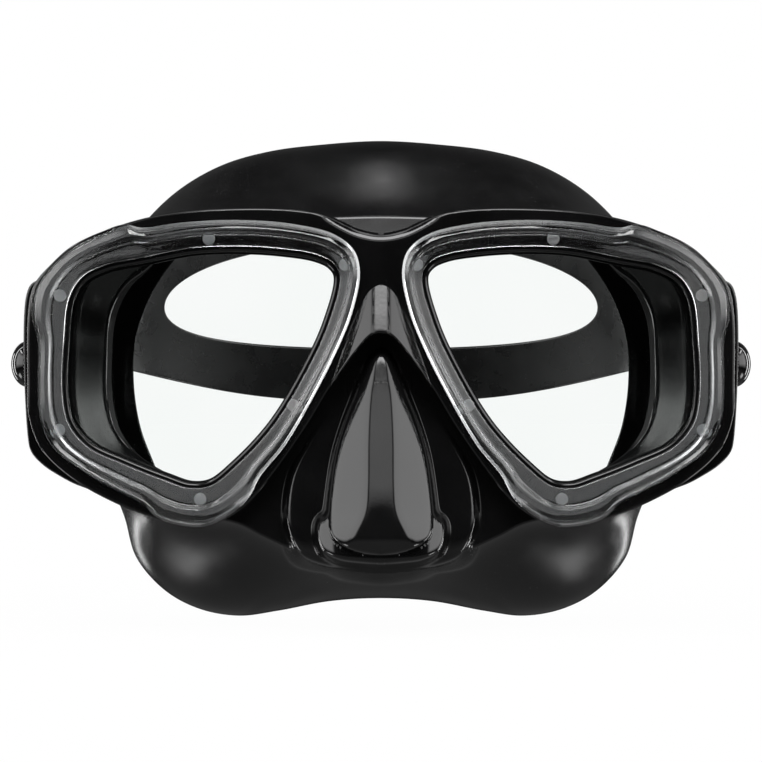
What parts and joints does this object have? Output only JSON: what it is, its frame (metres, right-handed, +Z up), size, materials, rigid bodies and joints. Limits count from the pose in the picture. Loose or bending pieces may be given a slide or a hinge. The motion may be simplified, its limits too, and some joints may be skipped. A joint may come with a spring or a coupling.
{
  "type": "diving mask",
  "caption": "Twin-lens diving mask with a silicone skirt and nose pocket, clear lens bezels, swivelling side buckles and a split silicone head strap.",
  "frame": {"origin": "on the mid-plane, in the plane where the skirt meets the forehead, level with the eyes", "axes": "+X to the wearer's left, +Y from the lenses back to the face, +Z up"},
  "size_m": [0.183, 0.1678, 0.1201],
  "materials": {
    "skirt_silicone": "moulded black silicone, satin outside, polished on the nose pocket and inside",
    "frame_plastic": "glossy black injection-moulded polycarbonate",
    "bezel_plastic": "clear polished polycarbonate",
    "lens_glass": "clear flat tempered glass",
    "buckle_plastic": "satin black injection-moulded plastic",
    "pin_steel": "drawn stainless steel wire",
    "strap_silicone": "moulded black silicone, satin"
  },
  "bodies": {
    "mask": {"skirt": "skirt_silicone", "main_frame": "frame_plastic", "bezel_left": "bezel_plastic", "bezel_right": "bezel_plastic", "lens_left": "lens_glass", "lens_right": "lens_glass", "swivel_cap_left": "frame_plastic", "swivel_cap_right": "frame_plastic"},
    "buckle_left": {"buckle_body_left": "buckle_plastic", "roller_pin_left": "pin_steel", "lever_pin_left": "pin_steel", "lever_spring_left": "pin_steel", "strap": "strap_silicone"},
    "buckle_right": {"buckle_body_right": "buckle_plastic", "roller_pin_right": "pin_steel", "lever_pin_right": "pin_steel", "lever_spring_right": "pin_steel"},
    "roller_left": {"strap_roller_left": "buckle_plastic"},
    "roller_right": {"strap_roller_right": "buckle_plastic"},
    "lever_left": {"release_lever_left": "buckle_plastic"},
    "lever_right": {"release_lever_right": "buckle_plastic"},
    "keeper_left": {"strap_keeper_left": "strap_silicone"},
    "keeper_right": {"strap_keeper_right": "strap_silicone"}
  },
  "joints": [
    {"name": "buckle_swivel_left", "type": "hinge", "parent": "mask", "child": "buckle_left", "pos_m": [0.084, -0.021, 0.0042], "axis": [1, 0, 0], "range_deg": [-30, 40]},
    {"name": "buckle_swivel_right", "type": "hinge", "parent": "mask", "child": "buckle_right", "pos_m": [-0.084, -0.021, 0.0042], "axis": [1, 0, 0], "range_deg": [-30, 40]},
    {"name": "roller_spin_left", "type": "hinge", "parent": "buckle_left", "child": "roller_left", "pos_m": [0.0826, -0.00817, 0.0063], "axis": [0, -0.1616, 0.9869], "continuous": true},
    {"name": "roller_spin_right", "type": "hinge", "parent": "buckle_right", "child": "roller_right", "pos_m": [-0.0826, -0.00817, 0.0063], "axis": [0, -0.1616, 0.9869], "continuous": true},
    {"name": "lever_press_left", "type": "hinge", "parent": "buckle_left", "child": "lever_left", "pos_m": [0.0872, -0.00028, 0.00759], "axis": [0, -0.1616, 0.9869], "range_deg": [0, 18], "stiffness_Nm_per_rad": 0.02, "springref_deg": -8.59, "deforming": ["lever_spring_left"]},
    {"name": "lever_press_right", "type": "hinge", "parent": "buckle_right", "child": "lever_right", "pos_m": [-0.0872, -0.00028, 0.00759], "axis": [0, 0.1616, -0.9869], "range_deg": [0, 18], "stiffness_Nm_per_rad": 0.02, "springref_deg": -8.59, "deforming": ["lever_spring_right"]},
    {"name": "keeper_slide_left", "type": "slide", "parent": "buckle_left", "child": "keeper_left", "axis": [0, 0.9869, 0.1616], "range_m": [-0.006, 0.008]},
    {"name": "keeper_slide_right", "type": "slide", "parent": "buckle_left", "child": "keeper_right", "axis": [0, 0.9869, 0.1616], "range_m": [-0.006, 0.008]}
  ],
  "couplings": [
    {"joint": "buckle_swivel_right", "follows": "buckle_swivel_left", "ratio": 1}
  ]
}
